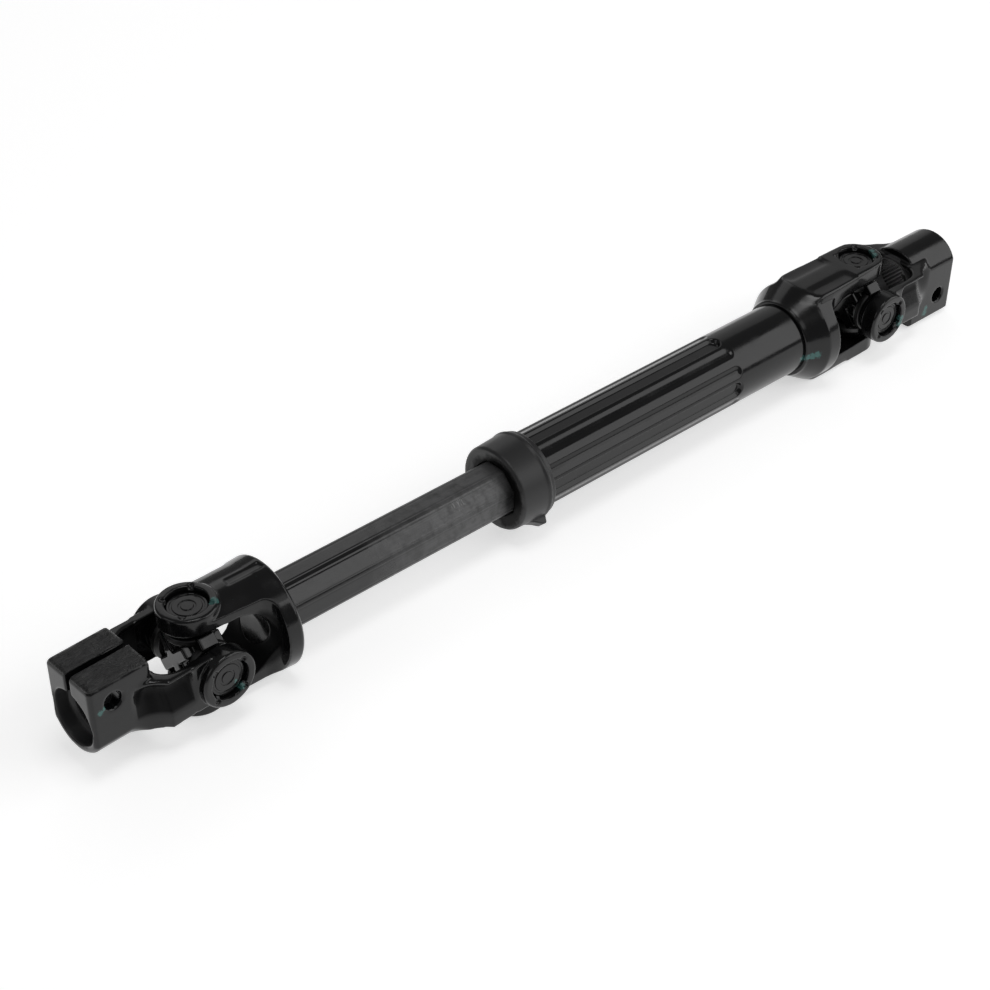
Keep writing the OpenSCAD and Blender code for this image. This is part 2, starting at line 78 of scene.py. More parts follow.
# %% [markdown]
# The two crosses are the places that everything else is measured from. Their middles come from the packed
# joints, so a change of length in the model moves the looks with it. The front yoke rests a little to one
# side, and the axis of its hinge says by how much.

# %% Find the two joint centres
joints = {joint["name"]: joint for joint in frame["joints"]}
FRONT = Vector(joints["front_swing"]["pos_m"])
REAR = Vector(joints["rear_swing"]["pos_m"])
AXIS_Z = FRONT.z
tilt_axis = joints["front_tilt"]["axis"]
FRONT_SWING = math.atan2(-tilt_axis[0], tilt_axis[1])
print("front joint, mm", [round(v / MM, 2) for v in FRONT])
print("rear joint, mm", [round(v / MM, 2) for v in REAR])
print("front yoke rests at", round(math.degrees(FRONT_SWING), 2), "degrees")

# %% [markdown]
# The camera stands at the front left, about half a metre off and above, and looks along the shaft. Its place
# and angles were fitted to the round ears of the two joints, because circles show perspective well. The long
# lens keeps the far joint nearly as large as the near one.

# %% Set up the camera
CAMERA_FROM_FRONT = Vector((-280.2, -472.9, 477.3)) * MM
CAMERA_TURN = (52.91, -0.29, -41.70)
LENS_MM = 73.4

camera_data = bpy.data.cameras.new("camera")
camera_data.lens = LENS_MM
camera_data.sensor_width = 36
camera_data.clip_start = 0.01
camera = bpy.data.objects.new("camera", camera_data)
camera.location = FRONT + CAMERA_FROM_FRONT
camera.rotation_euler = Euler([math.radians(a) for a in CAMERA_TURN])
bpy.context.scene.collection.objects.link(camera)
bpy.context.scene.camera = camera
print("camera to front joint, mm", round(CAMERA_FROM_FRONT.length / MM))

# %% [markdown]
# The floor is one pale sheet that glows a little, like the top of a light table. The glow keeps the shadow
# faint and lifts the undersides of the forgings, which mirror the sheet.

# %% Lay the floor
FLOOR_HALF = 6.0
FLOOR_PALE = 0.8
FLOOR_GLOW = 0.56

floor_paper = bpy.data.materials.new("floor_paper")
floor_paper.use_nodes = True
paper = floor_paper.node_tree.nodes["Principled BSDF"]
paper.inputs["Base Color"].default_value = (FLOOR_PALE, FLOOR_PALE, FLOOR_PALE, 1)
paper.inputs["Roughness"].default_value = 0.9
paper.inputs["Emission Color"].default_value = (1, 1, 1, 1)
paper.inputs["Emission Strength"].default_value = FLOOR_GLOW

floor_mesh = bpy.data.meshes.new("floor")
sheet = bmesh.new()
bmesh.ops.create_grid(sheet, x_segments=1, y_segments=1, size=FLOOR_HALF)
sheet.to_mesh(floor_mesh)
sheet.free()
floor = bpy.data.objects.new("floor", floor_mesh)
floor.data.materials.append(floor_paper)
bpy.context.scene.collection.objects.link(floor)
floor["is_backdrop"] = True
print("floor of", 2 * FLOOR_HALF, "m")

# %% [markdown]
# A glossy black part shows its surroundings more than itself. Bands of light and dark along the tube tell
# where the soft boxes of the photograph stood. A wide one at the right lights the flank that faces the
# camera, a dimmer one behind at the left lights the tops, a faint one fills the gap behind, and elsewhere
# the room stays dark. A small box overhead draws the thin lines along the rounded edges.

# %% Hang the lights
LIGHT_DISTANCE = 1.6
ROOM_GREY = 0.18


def soft_box(name, compass_deg, height_deg, width, height, glow):
    """An area light that faces the object from a compass angle (0 is +X, 90 is +Y) and a height angle."""
    turn, rise = math.radians(compass_deg), math.radians(height_deg)
    away = Vector((math.cos(rise) * math.cos(turn), math.cos(rise) * math.sin(turn), math.sin(rise)))
    light = bpy.data.lights.new(name, "AREA")
    light.shape = "RECTANGLE"
    light.size = width
    light.size_y = height
    light.energy = glow * math.pi * width * height
    lamp = bpy.data.objects.new(name, light)
    lamp.location = Vector((0, 0, AXIS_Z)) + away * LIGHT_DISTANCE
    lamp.rotation_euler = (-away).to_track_quat("-Z", "Y").to_euler()
    bpy.context.scene.collection.objects.link(lamp)


soft_box("right_box", -40, 28, 1.5, 1.15, 1.75)
soft_box("back_box", 77, 38, 1.15, 0.65, 0.75)
soft_box("far_box", 48, 20, 1.0, 1.15, 0.3)
soft_box("front_box", -87, 47, 0.8, 0.6, 0.9)
soft_box("top_box", -110, 82, 0.6, 0.6, 4.0)
soft_box("left_box", 170, 30, 0.8, 0.6, 0.9)
world = bpy.data.worlds.new("studio")
world.use_nodes = True
world.node_tree.nodes["Background"].inputs["Color"].default_value = (1, 1, 1, 1)
world.node_tree.nodes["Background"].inputs["Strength"].default_value = ROOM_GREY
bpy.context.scene.world = world
bpy.context.scene.view_settings.view_transform = "Standard"

# %% [markdown]
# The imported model's meshes are loose triangles. A copy is merged into one skin before its edges can be
# rounded. The next helper makes that copy, as a new object at the origin, because a pattern in Object
# coordinates would slide on an object that stood elsewhere.

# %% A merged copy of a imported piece
MERGE_MM = 0.0005
body_of = {node: body for body, nodes in frame["record"]["behaviour"]["bodies"].items() for node in nodes}


def merged_copy(node):
    """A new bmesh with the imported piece's skin, its doubles merged."""
    skin = bmesh.new()
    skin.from_mesh(frame["nodes"][node].data)
    bmesh.ops.remove_doubles(skin, verts=skin.verts, dist=MERGE_MM * MM)
    return skin


def place_piece(name, skin, body, material, nodes=()):
    """Turns a bmesh into an object that rides on a body, with its finish and the nodes that it replaces."""
    mesh = bpy.data.meshes.new(name)
    skin.to_mesh(mesh)
    skin.free()
    for polygon in mesh.polygons:
        polygon.use_smooth = True
    piece = bpy.data.objects.new(name, mesh)
    piece.data.materials.append(material)
    bpy.context.scene.collection.objects.link(piece)
    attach(piece, body)
    if nodes:
        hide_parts(*nodes)
    return piece


print("pieces to dress", len(body_of))

# %% [markdown]
# A material here is a small graph of nodes. The helpers below each add one node and join it, so that a
# finish reads as a short list of what it is made of: noises, ranges, bumps and places.

# %% Helpers for node graphs
def add_node(tree, kind, **settings):
    node = tree.nodes.new(kind)
    for key, value in settings.items():
        if hasattr(node, key):
            setattr(node, key, value)
        else:
            node.inputs[key.replace("_", " ")].default_value = value
    return node


def place_on_piece(tree):
    """The point on the piece, in Object coordinates, from one shared node."""
    for node in tree.nodes:
        if node.bl_idname == "ShaderNodeTexCoord":
            return node.outputs["Object"]
    return tree.nodes.new("ShaderNodeTexCoord").outputs["Object"]


def along(tree, axis):
    split = tree.nodes.new("ShaderNodeSeparateXYZ")
    tree.links.new(place_on_piece(tree), split.inputs[0])
    return split.outputs[axis]


def stretched(tree, scale):
    """The point on the piece, scaled apart along each axis, for grain that runs one way."""
    node = add_node(tree, "ShaderNodeVectorMath", operation="MULTIPLY")
    node.inputs[1].default_value = scale
    tree.links.new(place_on_piece(tree), node.inputs[0])
    return node.outputs["Vector"]


def noise(tree, scale_per_m, detail=2.0, rough=0.5, at=None):
    texture = add_node(tree, "ShaderNodeTexNoise", Scale=scale_per_m, Detail=detail, Roughness=rough)
    tree.links.new(at or place_on_piece(tree), texture.inputs["Vector"])
    return texture.outputs["Fac"]


def ramp(tree, value, low, high, out_low, out_high):
    """Maps a value from one range to another and holds it at the ends."""
    node = tree.nodes.new("ShaderNodeMapRange")
    for key, number in zip(("From Min", "From Max", "To Min", "To Max"), (low, high, out_low, out_high)):
        node.inputs[key].default_value = number
    tree.links.new(value, node.inputs["Value"])
    return node.outputs["Result"]


def join(tree, operation, first, second):
    node = add_node(tree, "ShaderNodeMath", operation=operation)
    for socket, value in zip(node.inputs, (first, second)):
        if isinstance(value, (int, float)):
            socket.default_value = value
        else:
            tree.links.new(value, socket)
    return node.outputs[0]


def blend(tree, share, first, second):
    """Mixes two colours, each a triple or a socket, by a share from 0 to 1."""
    node = add_node(tree, "ShaderNodeMix", data_type="RGBA")
    tree.links.new(share, node.inputs["Factor"])
    for socket, colour in ((node.inputs[6], first), (node.inputs[7], second)):
        if isinstance(colour, tuple):
            socket.default_value = (*colour, 1)
        else:
            tree.links.new(colour, socket)
    return node.outputs[2]


def bump(tree, height, depth_mm, normal=None):
    node = add_node(tree, "ShaderNodeBump", Strength=1.0, Distance=depth_mm * MM)
    tree.links.new(height, node.inputs["Height"])
    if normal:
        tree.links.new(normal, node.inputs["Normal"])
    return node.outputs["Normal"]


def near_point(tree, point, inner_mm, outer_mm):
    """1 within the inner radius of a point, falling to 0 at the outer one."""
    node = add_node(tree, "ShaderNodeVectorMath", operation="DISTANCE")
    tree.links.new(place_on_piece(tree), node.inputs[0])
    node.inputs[1].default_value = point
    return ramp(tree, node.outputs["Value"], inner_mm * MM, outer_mm * MM, 1, 0)


def blank_material(name):
    material = bpy.data.materials.new(name)
    material.use_nodes = True
    return material, material.node_tree, material.node_tree.nodes["Principled BSDF"]


print("helpers for materials are ready")

# %% [markdown]
# Black paint on a forging is thick and glossy. The forged surface below waves a little, so its reflections
# wander, and the paint has a faint orange-peel skin. Hands and packing have dulled the gloss in patches.
# After inspection someone dabbed each fastened place with a bit of teal marking paint, thin and smeared.
# Each dab is given as a place from its joint centre and a radius.

# %% The gloss black of the forgings, with its teal dabs
PAINT_BLACK = (0.0035, 0.0035, 0.0038)
TEAL = (0.045, 0.13, 0.12)
PAINT_GLOSS = 0.13
PAINT_SHINE = 0.38

FRONT_DABS = (
    ((7.4, -5.9, 22.0), 2.3),
    ((5.7, -21.0, -6.4), 1.8),
    ((4.2, -20.5, -3.6), 1.1),
    ((-46.6, -14.6, 8.7), 1.6),
    ((-45.0, -14.6, 9.4), 1.0),
    ((25.6, -8.2, 2.9), 1.8),
)
REAR_DABS = (
    ((7.4, -4.0, 22.0), 1.8),
    ((9.0, -1.6, 22.2), 1.8),
    ((8.6, -22.0, -2.4), 1.9),
    ((8.0, -22.0, -5.4), 2.1),
    ((39.6, -13.3, -14.6), 1.8),
    ((39.2, -13.3, -16.8), 2.0),
    ((-50.6, -15.9, -2.0), 2.0),
    ((-48.6, -17.4, -1.5), 2.0),
    ((-46.8, -18.6, -1.1), 2.1),
    ((-45.0, -19.6, -0.7), 2.2),
)
dabs = [(FRONT + Vector(place) * MM, radius) for place, radius in FRONT_DABS]
dabs += [(REAR + Vector(place) * MM, radius) for place, radius in REAR_DABS]


def dab_share(tree):
    """How much teal covers each point: blots with torn edges, thinned by a fine noise."""
    total = 0.0
    for centre, radius in dabs:
        total = join(tree, "MAXIMUM", near_point(tree, centre, 0.3 * radius, 1.25 * radius), total)
    torn = join(tree, "ADD", total, ramp(tree, noise(tree, 900, 4, 0.7), 0.25, 0.75, -0.75, 0.25))
    return ramp(tree, torn, 0.12, 0.5, 0, 0.85)


def black_paint(name, wave_mm, peel_mm, gloss, worn=0.10):
    material, tree, shader = blank_material(name)
    tree.links.new(blend(tree, dab_share(tree), PAINT_BLACK, TEAL), shader.inputs["Base Color"])
    shader.inputs["Specular IOR Level"].default_value = PAINT_SHINE
    dulled = ramp(tree, noise(tree, 90, 3), 0.45, 0.7, gloss, gloss + worn)
    tree.links.new(dulled, shader.inputs["Roughness"])
    waves = bump(tree, noise(tree, 150, 1), wave_mm)
    peel = bump(tree, noise(tree, 1300, 1), peel_mm, waves)
    tree.links.new(peel, shader.inputs["Normal"])
    return material


tube_paint = black_paint("tube_paint", 0.03, 0.002, PAINT_GLOSS)
cross_paint = black_paint("cross_paint", 0.05, 0.003, PAINT_GLOSS - 0.03)
print("dabs", len(dabs), "made", tube_paint.name, cross_paint.name)

# %% [markdown]
# The ends of the clamp lugs were sheared, not machined. There the paint lies over torn, pitted steel, so
# these faces scatter light in blotches beside the smooth sides. Height alone tells them apart: the front
# lugs end high above the axis, and the rear ones as far below it. The bores were cut after painting, so they
# show dark steel under a film of oil, from their counterbore inwards. The windows of the forks and the
# hollows of the arms read nearly black. Their paint is taken to be thin and dull there, which is a guess, so it
# gets less shine. There the paint's shine is lowered as painted shade, and its roughness is raised.

# %% The forging paint, rough on the ends of the lugs and bare in the bores
FRONT_LUG_MM = 19.5
REAR_LUG_MM = 21.5
LUG_EDGE_MM = 1.0
BORE_SHOW_MM = 11.35
BORE_STEEL = (0.030, 0.030, 0.031)
BORE_PAST_MM, BORE_TO_MM = 24, 90
FORK_SHOW_MM, FORK_DEPTH_MM = 18.0, {"front": 30, "rear": 24}
# The shine in the fork windows and arm hollows, lowered as painted shade.
RECESS_SHADE_SHINE = 0.1
ALL_ROUND_MM = 60
TORN_MM = 1.5
FRONT_HOLLOW_MM = ((12.8, 33.0), (-3.6, 9.4))
REAR_HOLLOW_MM = ((14.0, 30.0), (2.0, 8.6))


def lug_end_share(tree):
    up = along(tree, "Z")
    lift = AXIS_Z + (FRONT_LUG_MM - LUG_EDGE_MM) * MM
    drop = AXIS_Z - (REAR_LUG_MM - LUG_EDGE_MM) * MM
    high = ramp(tree, up, lift, lift + 0.4 * MM, 0, 1)
    ahead = ramp(tree, along(tree, "X"), FRONT.x - 24 * MM, FRONT.x - 23 * MM, 1, 0)
    low = ramp(tree, up, drop, drop - 0.4 * MM, 0, 1)
    behind = ramp(tree, along(tree, "X"), REAR.x + 27 * MM, REAR.x + 28 * MM, 0, 1)
    return join(tree, "MAXIMUM", join(tree, "MULTIPLY", high, ahead), join(tree, "MULTIPLY", low, behind))


def core_share(tree, centre, way, swing, radius_mm, soft_mm, start_mm, end_mm):
    """1 near the axis of a hub or fork, between two distances from its joint."""
    outward = Vector((way * math.cos(swing), way * math.sin(swing), 0))
    arm = add_node(tree, "ShaderNodeVectorMath", operation="SUBTRACT")
    tree.links.new(place_on_piece(tree), arm.inputs[0])
    arm.inputs[1].default_value = centre
    reach = add_node(tree, "ShaderNodeVectorMath", operation="DOT_PRODUCT")
    tree.links.new(arm.outputs["Vector"], reach.inputs[0])
    reach.inputs[1].default_value = outward
    off = add_node(tree, "ShaderNodeVectorMath", operation="CROSS_PRODUCT")
    tree.links.new(arm.outputs["Vector"], off.inputs[0])
    off.inputs[1].default_value = outward
    radius = add_node(tree, "ShaderNodeVectorMath", operation="LENGTH")
    tree.links.new(off.outputs["Vector"], radius.inputs[0])
    inside = ramp(tree, radius.outputs["Value"], (radius_mm - soft_mm) * MM, (radius_mm + soft_mm) * MM, 1, 0)
    past = ramp(tree, reach.outputs["Value"], start_mm * MM, (start_mm + 0.5) * MM, 0, 1)
    before = ramp(tree, reach.outputs["Value"], end_mm * MM, (end_mm + 0.5) * MM, 1, 0)
    return join(tree, "MULTIPLY", join(tree, "MULTIPLY", inside, past), before)


def hollow_share(tree, centre, way, swing, length, height):
    """1 on the arms of a clamp yoke, between its boss and hub and between two heights from the axis."""
    along_arm = core_share(tree, centre, way, swing, ALL_ROUND_MM, 1.0, *length)
    up = along(tree, "Z")
    low, high = (AXIS_Z + level * MM for level in height)
    above = ramp(tree, up, low - 0.8 * MM, low + 0.8 * MM, 0, 1)
    below = ramp(tree, up, high - 0.5 * MM, high + 0.5 * MM, 1, 0)
    return join(tree, "MULTIPLY", along_arm, join(tree, "MULTIPLY", above, below))


forging_paint = black_paint("forging_paint", 0.06, 0.006, PAINT_GLOSS)
tree = forging_paint.node_tree
shader = tree.nodes["Principled BSDF"]
lug_end = lug_end_share(tree)
bore_zone = (BORE_SHOW_MM, 0.1, BORE_PAST_MM, BORE_TO_MM)
bores = join(tree, "MAXIMUM", core_share(tree, FRONT, -1, FRONT_SWING, *bore_zone),
             core_share(tree, REAR, 1, 0.0, *bore_zone))
windows = join(tree, "MAXIMUM", core_share(tree, FRONT, 1, 0.0, FORK_SHOW_MM, 1.0, 0, FORK_DEPTH_MM["front"]),
               core_share(tree, REAR, -1, 0.0, FORK_SHOW_MM, 1.0, 0, FORK_DEPTH_MM["rear"]))
hollows = join(tree, "MAXIMUM", hollow_share(tree, FRONT, -1, FRONT_SWING, *FRONT_HOLLOW_MM),
               hollow_share(tree, REAR, 1, 0.0, *REAR_HOLLOW_MM))
# dull marks the windows and hollows, where the shine is lowered as painted shade and the roughness raised.
dull = join(tree, "MAXIMUM", windows, hollows)
tree.links.new(ramp(tree, dull, 0, 1, PAINT_SHINE, RECESS_SHADE_SHINE), shader.inputs["Specular IOR Level"])
blotches = noise(tree, 260, 5, 0.6, stretched(tree, (0.8, 1.5, 1.0)))
waved = shader.inputs["Normal"].links[0].from_socket
torn_normal = bump(tree, join(tree, "MULTIPLY", lug_end, blotches), TORN_MM, waved)
tree.links.new(torn_normal, shader.inputs["Normal"])
painted = shader.inputs["Base Color"].links[0].from_socket
lug_tone = blend(tree, join(tree, "MULTIPLY", lug_end, ramp(tree, blotches, 0.4, 0.65, 0, 1)), painted,
                 (0.022, 0.022, 0.022))
tree.links.new(blend(tree, bores, lug_tone, BORE_STEEL), shader.inputs["Base Color"])
rougher = join(tree, "ADD", ramp(tree, lug_end, 0, 1, 0, 0.14),
               ramp(tree, join(tree, "MAXIMUM", bores, dull), 0, 1, 0, 0.25))
smooth_rough = shader.inputs["Roughness"].links[0].from_socket
tree.links.new(join(tree, "ADD", smooth_rough, rougher), shader.inputs["Roughness"])
print("lug ends are rough past", FRONT_LUG_MM - LUG_EDGE_MM, "mm above the axis")

# %% [markdown]
# The four forgings have the same making: a hot blank is pressed, its flash is trimmed, and then only the
# faces and bores are machined. So no edge is sharp, and the roots of the arms flow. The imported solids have
# the right form but crisp edges. Rebuilding each skin from small voxels and easing it a few rounds rounds
# every edge and root at once, as forging and paint do, which no bevel manages where many faces meet in one
# corner. The crosses and the rubber collar get the same treatment on a finer or coarser scale.

# %% A helper that gives a solid soft edges
def add_box(skin, centre, size, turn_deg=0):
    """A closed box in a bmesh, in metres, turned about X and joined to the rest by the voxels."""
    turn = Matrix.Rotation(math.radians(turn_deg), 4, "X")
    place = Matrix.Translation(centre) @ turn @ Matrix.Diagonal((*size, 1))
    bmesh.ops.create_cube(skin, size=1.0, matrix=place)


def forged_skin(skin, voxel_mm, rounds):
    mesh = bpy.data.meshes.new("blank")
    skin.to_mesh(mesh)
    blank = bpy.data.objects.new("blank", mesh)
    bpy.context.scene.collection.objects.link(blank)
    remesh = blank.modifiers.new("voxels", "REMESH")
    remesh.mode = "VOXEL"
    remesh.voxel_size = voxel_mm * MM
    remesh.adaptivity = 0
    ready = blank.evaluated_get(bpy.context.evaluated_depsgraph_get())
    skin.clear()
    skin.from_mesh(ready.to_mesh())
    bpy.data.objects.remove(blank)
    ease(skin, skin.verts, rounds)
    return skin


def ease(skin, points, rounds):
    for _ in range(rounds):
        bmesh.ops.smooth_vert(skin, verts=points, factor=0.5,
                              use_axis_x=True, use_axis_y=True, use_axis_z=True)


print("forging helpers are ready")

# %% [markdown]
# The outer sides of the clamp yokes' arms are hollowed between a rib along the top and a lip along the
# bottom, which saves weight. The hollow is a shift of the points on the outer side. It deepens evenly from
# its lower lip upwards, so that it faces up into the dark room, and it fades out at the hub and at the ear's
# boss. The points of the inner side hardly move, so the arm gets thinner.

# %% Hollow the arms of the clamp yokes
HOLLOW_MM = 3.8
LIP_MM, DEEP_MM, RIB_MM, TOP_MM = -4.6, 4.2, 6.4, 10.2
ARM_INNER_MM, ARM_OUTER_MM = 15.0, 18.8
HUB_BORE_MM = 9.6
EAR_EDGE_MM, EAR_FADE_MM = 11.5, 3.0
PAST_HUB_MM, HUB_FADE_MM = 9, 8
ROOT_BACK_MM, ROOT_FADE_MM, ROOT_SKIN_MM = 3.0, 2.5, 2.4
INNER_SOFT_MM, OUTER_SOFT_MM = 0.8, 0.2
BOSS_MM, BOSS_FROM_MM = 12.2, 19.0
EASE_FROM_MM, EASE_SKIN_MM, EASE_HIGH_MM = 12.5, 0.4, 12
YOKES = {
    "front_clamp_yoke": (FRONT, -1, 26.0, FRONT_SWING),
    "rear_clamp_yoke": (REAR, 1, 29.5, 0.0),
}


def smooth_step(value):
    held = min(1.0, max(0.0, value))
    return held * held * (3 - 2 * held)


def hollow_arms(skin, centre, way, hub_back, swing):
    square_on = Matrix.Rotation(-swing, 4, "Z")
    back = square_on.inverted()
    for vert in skin.verts:
        local = square_on @ (vert.co - centre) / MM
        reach = way * local.x
        fade = smooth_step((reach - EAR_EDGE_MM) / EAR_FADE_MM)
        fade *= smooth_step((hub_back + PAST_HUB_MM - reach) / HUB_FADE_MM)
        wall = ARM_OUTER_MM - ARM_INNER_MM - OUTER_SOFT_MM
        on_arm = smooth_step((abs(local.y) - ARM_INNER_MM + INNER_SOFT_MM) / wall)
        on_root = smooth_step((reach - hub_back + ROOT_BACK_MM) / ROOT_FADE_MM)
        on_root *= smooth_step((abs(local.y) - HUB_BORE_MM) / ROOT_SKIN_MM)
        fade *= max(on_arm, on_root)
        rise = min(1.0, max(0.0, (local.z - LIP_MM) / (DEEP_MM - LIP_MM)))
        fade *= rise * smooth_step((TOP_MM - local.z) / (TOP_MM - RIB_MM))
        if fade > 0:
            local.y -= math.copysign(HOLLOW_MM * fade, local.y)
            vert.co = back @ (local * MM) + centre


def arm_points(skin, centre, way, hub_back, swing):
    """The points of the arms' outer sides, which are eased until the hollows flow."""
    square_on = Matrix.Rotation(-swing, 4, "Z")
    chosen = []
    for vert in skin.verts:
        local = square_on @ (vert.co - centre) / MM
        on_length = EASE_FROM_MM < way * local.x < hub_back + PAST_HUB_MM
        if on_length and abs(local.y) > HUB_BORE_MM + EASE_SKIN_MM and abs(local.z) < EASE_HIGH_MM:
            chosen.append(vert)
    return chosen


def away_from_bosses(skin, centre):
    """The points outside the machined bosses, whose faces and rims stay crisp."""
    return [vert for vert in skin.verts
            if abs(vert.co.x - centre.x) > BOSS_MM * MM or (vert.co - centre).length < BOSS_FROM_MM * MM]


def lug_points(skin, centre, way, hub_back, swing):
    """The points near the sheared end of a clamp lug and its edges."""
    square_on = Matrix.Rotation(-swing, 4, "Z")
    top = -way * (FRONT_LUG_MM if way < 0 else REAR_LUG_MM)
    chosen = []
    for vert in skin.verts:
        local = square_on @ (vert.co - centre) / MM
        if way * local.x > hub_back - 1 and abs(local.z - top) < 1.6 and abs(local.y) > SLIT_HALF_MM + 0.8:
            chosen.append(vert)
    return chosen


SLIT_HALF_MM = 1.3
for node, (centre, way, hub_back, swing) in YOKES.items():
    skin = forged_skin(merged_copy(node), 0.38, 2)
    ease(skin, away_from_bosses(skin, centre), 2)
    hollow_arms(skin, centre, way, hub_back, swing)
    ease(skin, arm_points(skin, centre, way, hub_back, swing), 14)
    ease(skin, lug_points(skin, centre, way, hub_back, swing), 14)
    piece = place_piece("painted_" + node, skin, body_of[node], forging_paint, [node])
    print(node, "faces", len(piece.data.polygons))

# %% [markdown]
# The two forks are turned on their outside, so they keep their form and only lose their sharp edges. Where
# the rear one's cone runs into its flat spine, more rounds let the two flow together. Each cross has a
# forged middle. On both sides two flat ribs run over it from corner to corner, and they stiffen the roots of
# the trunnions.

# %% Ease the forks and the crosses
RIB_LONG_MM, RIB_WIDE_MM, RIB_THICK_MM = 22.0, 5.0, 16.4
WEB_LONG_MM, WEB_THICK_MM = 33.0, 7.0
CROSS_VOXEL_MM = 0.30

for node, centre, voxel_mm in (("front_fork", FRONT, 0.38), ("rear_fork", REAR, 0.44)):
    skin = forged_skin(merged_copy(node), voxel_mm, 2)
    ease(skin, away_from_bosses(skin, centre), 2)
    if node == "rear_fork":
        spine = [vert for vert in skin.verts
                 if vert.co.x < centre.x - BOSS_MM * MM and abs(vert.co.z - AXIS_Z) > BOSS_FROM_MM * MM]
        ease(skin, spine, 36)
    piece = place_piece("painted_" + node, skin, body_of[node], forging_paint, [node])
    print(node, "faces", len(piece.data.polygons))

for node, centre in (("front_cross", FRONT), ("rear_cross", REAR)):
    skin = merged_copy(node)
    for diagonal in (45, 135):
        add_box(skin, centre, Vector((RIB_THICK_MM, RIB_LONG_MM, RIB_WIDE_MM)) * MM, diagonal)
        add_box(skin, centre, Vector((WEB_THICK_MM, WEB_LONG_MM, RIB_WIDE_MM)) * MM, diagonal)
    skin = forged_skin(skin, CROSS_VOXEL_MM, 9)
    piece = place_piece("eased_" + node, skin, body_of[node], cross_paint, [node])
    print(node, "faces", len(piece.data.polygons))

# %% [markdown]
# Turned and drawn pieces keep crisper edges. Their flat triangles are first joined into whole faces, and
# then only the sharp edges get a narrow bevel. The bevel is what catches the thin rings of light on the
# bearing cups.

# %% A helper that bevels the sharp edges of a piece
SHARP_DEG = 25


def bevelled_skin(node, width_mm, segments=2):
    skin = merged_copy(node)
    bmesh.ops.dissolve_limit(skin, angle_limit=math.radians(0.5), verts=skin.verts, edges=skin.edges,
                             use_dissolve_boundaries=False, delimit=set())
    sharp = [edge for edge in skin.edges
             if len(edge.link_faces) == 2 and edge.calc_face_angle() > math.radians(SHARP_DEG)]
    bmesh.ops.bevel(skin, geom=sharp, offset=width_mm * MM, offset_type="OFFSET", segments=segments,
                    profile=0.5, affect="EDGES", clamp_overlap=True, material=-1)
    return skin


def place_bevelled(node, width_mm, material):
    piece = place_piece("eased_" + node, bevelled_skin(node, width_mm), body_of[node], material, [node])
    piece.modifiers.new("flat faces stay flat", "WEIGHTED_NORMAL").keep_sharp = True
    return piece


SIDES = ("left", "right", "upper", "lower")
for end in ("front", "rear"):
    for side in SIDES:
        node = f"{end}_cup_{side}"
        place_bevelled(node, 0.14, cross_paint)
print("bevelled", 2 * len(SIDES), "cups")

# %% [markdown]
# The seals on the trunnions are black rubber, dull but for a trace of grease. The needles and the slide
# sleeve sit inside and show only when the part is taken apart, so a plain steel and a plain polymer do for
# them.

# %% Dress seals, needles and sleeve
def plain_finish(name, colour, metallic, rough):
    material, tree, shader = blank_material(name)
    shader.inputs["Base Color"].default_value = (*colour, 1)
    shader.inputs["Metallic"].default_value = metallic
    dulled = ramp(tree, noise(tree, 300, 3), 0.3, 0.7, rough - 0.05, rough + 0.08)
    tree.links.new(dulled, shader.inputs["Roughness"])
    return material


seal_rubber = plain_finish("seal_rubber", (0.006, 0.006, 0.006), 0.0, 0.38)
bearing_steel = plain_finish("bearing_steel", (0.55, 0.55, 0.56), 1.0, 0.22)
sleeve_polymer = plain_finish("sleeve_polymer", (0.55, 0.52, 0.44), 0.0, 0.45)

for end in ("front", "rear"):
    for side in SIDES:
        node = f"{end}_seal_{side}"
        place_bevelled(node, 0.2, seal_rubber)
        needles = frame["nodes"][f"{end}_needles_{side}"]
        needles.data.materials.clear()
        needles.data.materials.append(bearing_steel)
sleeve = frame["nodes"]["slide_sleeve"]
sleeve.data.materials.clear()
sleeve.data.materials.append(sleeve_polymer)
print("dressed the inner pieces")

# %% [markdown]
# The inner shaft was drawn to an octagon with a fine groove along four of its edges. It was painted together
# with the front joint, so the gloss black fades out along it, and the far half is bare dark steel with draw
# lines and a few handling scratches.

# %% The shaft's fading paint and bare steel
FADE_FROM_MM = 70
FADE_TO_MM = 112
BARE_STEEL = (0.072, 0.072, 0.073)
GREASED_AT = Vector((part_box("seal_collar")[0][0], -10.5 * MM, AXIS_Z + 1.5 * MM))
SCRATCH_AT = FRONT + Vector((119.6, -6.5, 9.1)) * MM


